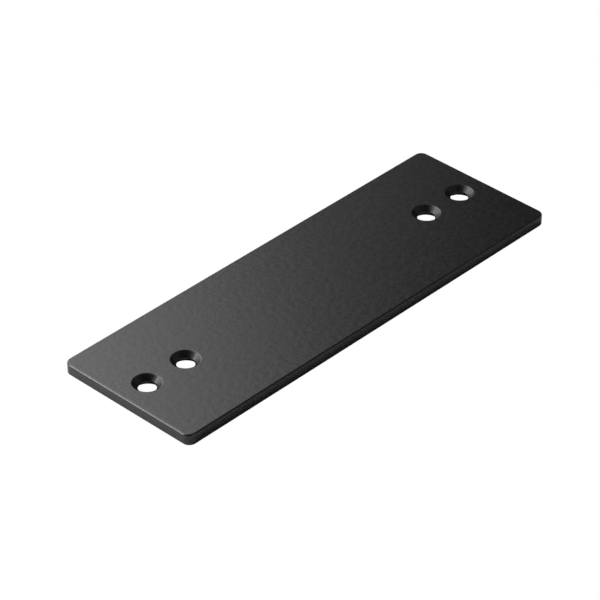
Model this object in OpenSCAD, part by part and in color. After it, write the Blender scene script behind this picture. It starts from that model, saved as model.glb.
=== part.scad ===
// Track connector: a flat steel plate that joins the ends of two tracks.
// Each end has a pair of screw holes, countersunk from both faces, so either face can be up.
// The plate lies on its underside, with its length along X, its width along Y and Z up.
// The origin is the centre of the underside. All lengths are in millimetres.

/* [Plate] */
// Length of the plate
plate_l = 120; // [60:1:300]
// Width of the plate
plate_w = 40; // [20:1:100]
// Thickness of the plate
plate_t = 3; // [2.8:0.1:8]
// Radius of the four corners, seen from above
corner_r = 2; // [1:0.1:8]
// Radius that softens the edges of both faces
edge_r = 0.45; // [0.1:0.05:0.8]

/* [Screw holes] */
// Diameter of the straight stretch in the middle of each hole, with its coating
hole_d = 4.4; // [3:0.1:8]
// Depth of the countersink in each face
countersink_depth = 1.25; // [0.5:0.05:1.35]
// Angle between the two sides of a countersink
countersink_angle = 90; // [60:1:120]
// Radius that softens the rim of each countersink
rim_r = 0.4; // [0.05:0.05:0.6]
// Distance from each end of the plate to the outer hole of its pair
end_distance = 7.5; // [6:0.1:14]
// Distance between the two holes of a pair
pair_pitch = 12; // [10:0.5:30]
// Distance of the row of holes behind the plate's centreline
row_offset = 0.8; // [-4:0.1:4]

/* [Hidden] */
$fn = 96;
// How far a cutter reaches past the face that it opens
overcut = 1;
black_coat = [0.13, 0.13, 0.14];

hole_r = hole_d / 2;
// Each countersink falls away from the face at this angle, and meets it at this radius
wall_slope = 90 - countersink_angle / 2;
countersink_r = hole_r + countersink_depth * tan(countersink_angle / 2);
// The rim's arc touches the face this far outside the countersink's sharp edge
rim_reach = rim_r * tan(wall_slope / 2);

outer_x = plate_l / 2 - end_distance;
inner_x = outer_x - pair_pitch;
hole_xs = [-outer_x, -inner_x, inner_x, outer_x];

// Cross-section of the plate: a bar of the given width, with its four corners rounded
module section(width) {
    side = width / 2 - edge_r;
    translate([-side, 0])
        square([2 * side, plate_t]);
    translate([-width / 2, edge_r])
        square([width, plate_t - 2 * edge_r]);
    for (x = [-side, side], y = [edge_r, plate_t - edge_r])
        translate([x, y])
            circle(r = edge_r);
}

// A straight bar with that section, lying along X
module bar_along_x(length, width) {
    rotate([90, 0, 90])
        linear_extrude(height = length, center = true)
            section(width);
}

// The round corner that joins two bars, as a disc with the same softened edges
module corner_disc() {
    rotate_extrude()
        intersection() {
            section(2 * corner_r);
            square([corner_r, plate_t]);
        }
}

// The plate before it is drilled: two crossed bars, with a disc in each corner
module blank() {
    bar_along_x(plate_l - 2 * corner_r, plate_w);
    rotate([0, 0, 90])
        bar_along_x(plate_w - 2 * corner_r, plate_l);
    for (x = [-1, 1], y = [-1, 1])
        translate([x * (plate_l / 2 - corner_r), y * (plate_w / 2 - corner_r), 0])
            corner_disc();
}

// The cutter for the countersink of the upper face, with an arc in place of the sharp rim
module countersink() {
    rim_top = [countersink_r + rim_reach, plate_t];
    rim_centre = rim_top - [0, rim_r];
    rim_foot = rim_centre + rim_r * [-sin(wall_slope), cos(wall_slope)];
    rotate_extrude()
        difference() {
            polygon([
                [0, plate_t - countersink_depth],
                [hole_r, plate_t - countersink_depth],
                rim_foot,
                rim_top,
                rim_top + [0, overcut],
                [0, plate_t + overcut]
            ]);
            translate(rim_centre)
                circle(r = rim_r);
        }
}

// The cutter for one hole, from both faces
module screw_hole() {
    translate([0, 0, -overcut])
        cylinder(r = hole_r, h = plate_t + 2 * overcut);
    countersink();
    translate([0, 0, plate_t])
        mirror([0, 0, 1])
            countersink();
}

module connector_plate() {
    color(black_coat)
        difference() {
            blank();
            for (x = hole_xs)
                translate([x, row_offset, 0])
                    screw_hole();
        }
}

connector_plate();
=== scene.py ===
"""Track connector plate on a plain white floor: its coating, the studio light and the camera."""
import math

import bmesh
import bpy
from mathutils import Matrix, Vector

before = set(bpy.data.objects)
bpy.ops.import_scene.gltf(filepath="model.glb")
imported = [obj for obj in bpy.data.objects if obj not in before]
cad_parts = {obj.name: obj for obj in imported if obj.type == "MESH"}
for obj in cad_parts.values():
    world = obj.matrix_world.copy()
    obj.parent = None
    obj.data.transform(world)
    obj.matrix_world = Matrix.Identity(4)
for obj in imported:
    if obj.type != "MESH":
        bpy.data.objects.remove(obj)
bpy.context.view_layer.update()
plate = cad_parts["connector_plate"]

MM = 0.001

# The camera looks down over the plate's near left end through a long lens
CAMERA_PLACE = Vector((-426.1, -401.8, 418.0)) * MM
CAMERA_AIM = Vector((-6.4, -2.1, 3.0)) * MM
CAMERA_LENS = 186.0
SENSOR_WIDTH = 36.0
CLIP_START = 0.01
CLIP_END = 20.0

# Satin black powder coating, whose mottle runs from deep black with more gloss to a duller, paler black
COAT_COLOUR_RANGE = (0.005, 0.011)
COAT_ROUGHNESS_RANGE = (0.275, 0.325)

# The mottle and the pebbles are noise: the size of its largest blots, and its finer octaves
NOISE_COMMON_RANGE = (0.3, 0.7)
MOTTLE_SIZE = 1.3 * MM
MOTTLE_OCTAVES = 3.0
MOTTLE_OCTAVE_STRENGTH = 0.8
PEBBLE_SIZE = 1.6 * MM
PEBBLE_OCTAVES = 2.0
PEBBLE_OCTAVE_STRENGTH = 0.5
PEBBLE_HEIGHT = 0.036 * MM

# The floor and the backdrop, with their reach in metres
STAGE_REACH = 3.0
BACKDROP_SEGMENTS = 32
BACKDROP_RINGS = 16
FLOOR_ROUGHNESS = 0.9
PALE_GREY = (0.8, 0.8, 0.8, 1.0)
WHITE = (1.0, 1.0, 1.0, 1.0)
BLACK = (0.0, 0.0, 0.0, 1.0)

# Each lamp stands this far from the plate, in metres, in the direction of its azimuth and elevation.
# It spans so many degrees of azimuth and of elevation, and its power is in watts. Azimuths run from +X
# towards +Y. The large softboxes stand behind the plate, to the left.
LAMP_DISTANCE = 0.45
LAMP_AIM = Vector((0.0, 0.0, 0.0))
LAMPS = {
    "main_softbox": {"azimuth": 103, "elevation": 40, "wide": 85, "high": 65, "power": 2.4},
    "rear_softbox": {"azimuth": 92, "elevation": 43, "wide": 95, "high": 30, "power": 0.82},
    "rear_card": {"azimuth": 58, "elevation": 24, "wide": 42, "high": 21, "power": 0.07},
    "left_strip": {"azimuth": 146, "elevation": 13, "wide": 28, "high": 22, "power": 1.8},
    "front_fill": {"azimuth": -28, "elevation": 50, "wide": 105, "high": 65, "power": 0.22},
    "front_card": {"azimuth": -90, "elevation": 8, "wide": 40, "high": 15, "power": 0.3},
}


def link(thing):
    bpy.context.scene.collection.objects.link(thing)


def place_and_aim(thing, place, target):
    """Puts a camera or a lamp at a place, turned to the target."""
    thing.location = place
    thing.rotation_euler = (target - place).to_track_quat("-Z", "Y").to_euler()


def make_camera():
    data = bpy.data.cameras.new("camera")
    data.sensor_width = SENSOR_WIDTH
    data.lens = CAMERA_LENS
    data.clip_start = CLIP_START
    data.clip_end = CLIP_END
    camera = bpy.data.objects.new("camera", data)
    place_and_aim(camera, CAMERA_PLACE, CAMERA_AIM)
    link(camera)
    bpy.context.scene.camera = camera


def new_material(name):
    """A material and its shader."""
    material = bpy.data.materials.new(name)
    material.use_nodes = True
    return material, material.node_tree.nodes["Principled BSDF"]


def noise(tree, place, size, octaves, octave_strength):
    """Noise whose largest blots are about this size."""
    texture = tree.nodes.new("ShaderNodeTexNoise")
    texture.inputs["Scale"].default_value = 1.0 / size
    texture.inputs["Detail"].default_value = octaves
    texture.inputs["Roughness"].default_value = octave_strength
    tree.links.new(place, texture.inputs["Vector"])
    return texture.outputs["Fac"]


def spread(tree, value, low, high):
    """The noise stretched so that its common values run from low to high."""
    node = tree.nodes.new("ShaderNodeMapRange")
    node.inputs["From Min"].default_value = NOISE_COMMON_RANGE[0]
    node.inputs["From Max"].default_value = NOISE_COMMON_RANGE[1]
    node.inputs["To Min"].default_value = low
    node.inputs["To Max"].default_value = high
    tree.links.new(value, node.inputs["Value"])
    return node.outputs["Result"]


def coating_material():
    """A finely pebbled surface, faintly mottled."""
    material, shader = new_material("black_coating")
    tree = material.node_tree
    place = tree.nodes.new("ShaderNodeTexCoord").outputs["Object"]
    mottle = noise(tree, place, MOTTLE_SIZE, MOTTLE_OCTAVES, MOTTLE_OCTAVE_STRENGTH)
    tree.links.new(spread(tree, mottle, *COAT_COLOUR_RANGE), shader.inputs["Base Color"])
    tree.links.new(spread(tree, mottle, *COAT_ROUGHNESS_RANGE), shader.inputs["Roughness"])
    pebbles = noise(tree, place, PEBBLE_SIZE, PEBBLE_OCTAVES, PEBBLE_OCTAVE_STRENGTH)
    bump = tree.nodes.new("ShaderNodeBump")
    bump.inputs["Distance"].default_value = PEBBLE_HEIGHT
    tree.links.new(pebbles, bump.inputs["Height"])
    tree.links.new(bump.outputs["Normal"], shader.inputs["Normal"])
    return material


def floor_material():
    material, shader = new_material("pale_floor")
    shader.inputs["Base Color"].default_value = PALE_GREY
    shader.inputs["Roughness"].default_value = FLOOR_ROUGHNESS
    return material


def backdrop_material():
    """Even white that no light changes."""
    material, shader = new_material("white_backdrop")
    shader.inputs["Base Color"].default_value = BLACK
    shader.inputs["Specular IOR Level"].default_value = 0.0
    shader.inputs["Emission Color"].default_value = WHITE
    shader.inputs["Emission Strength"].default_value = 1.0
    return material


def stage_object(name, form, material):
    """A floor or backdrop from a bmesh form, which isn't part of the plate."""
    mesh = bpy.data.meshes.new(name)
    form.to_mesh(mesh)
    form.free()
    mesh.materials.append(material)
    thing = bpy.data.objects.new(name, mesh)
    link(thing)
    return thing


def make_floor():
    """The pale floor that the plate lies on: it lights and is mirrored by the plate's sides."""
    form = bmesh.new()
    bmesh.ops.create_grid(form, x_segments=1, y_segments=1, size=STAGE_REACH)
    floor = stage_object("floor", form, floor_material())
    floor.visible_camera = False


def make_backdrop():
    """A white shell round everything, which only the camera sees, in place of the floor too."""
    form = bmesh.new()
    bmesh.ops.create_uvsphere(
        form, u_segments=BACKDROP_SEGMENTS, v_segments=BACKDROP_RINGS, radius=STAGE_REACH)
    backdrop = stage_object("backdrop", form, backdrop_material())
    backdrop.visible_diffuse = False
    backdrop.visible_glossy = False
    backdrop.visible_transmission = False
    backdrop.visible_shadow = False


def lamp_span(angle):
    """The width of a lamp that spans this many degrees at its distance."""
    return 2 * LAMP_DISTANCE * math.tan(math.radians(angle) / 2)


def soft_light(name, azimuth, elevation, wide, high, power):
    a = math.radians(azimuth)
    e = math.radians(elevation)
    direction = Vector((math.cos(a) * math.cos(e), math.sin(a) * math.cos(e), math.sin(e)))
    data = bpy.data.lights.new(name, "AREA")
    data.shape = "RECTANGLE"
    data.size = lamp_span(wide * math.cos(e))
    data.size_y = lamp_span(high)
    data.energy = power
    light = bpy.data.objects.new(name, data)
    place_and_aim(light, LAMP_DISTANCE * direction, LAMP_AIM)
    light.visible_camera = False
    link(light)


def make_world():
    """A dark world, so that all the light comes from the lamps."""
    world = bpy.data.worlds.new("studio")
    world.use_nodes = True
    world.node_tree.nodes["Background"].inputs["Strength"].default_value = 0.0
    bpy.context.scene.world = world


bpy.context.scene.view_settings.view_transform = "Standard"
make_camera()
plate.data.materials.clear()
plate.data.materials.append(coating_material())
make_floor()
make_backdrop()
make_world()
for lamp_name, lamp in LAMPS.items():
    soft_light(lamp_name, **lamp)
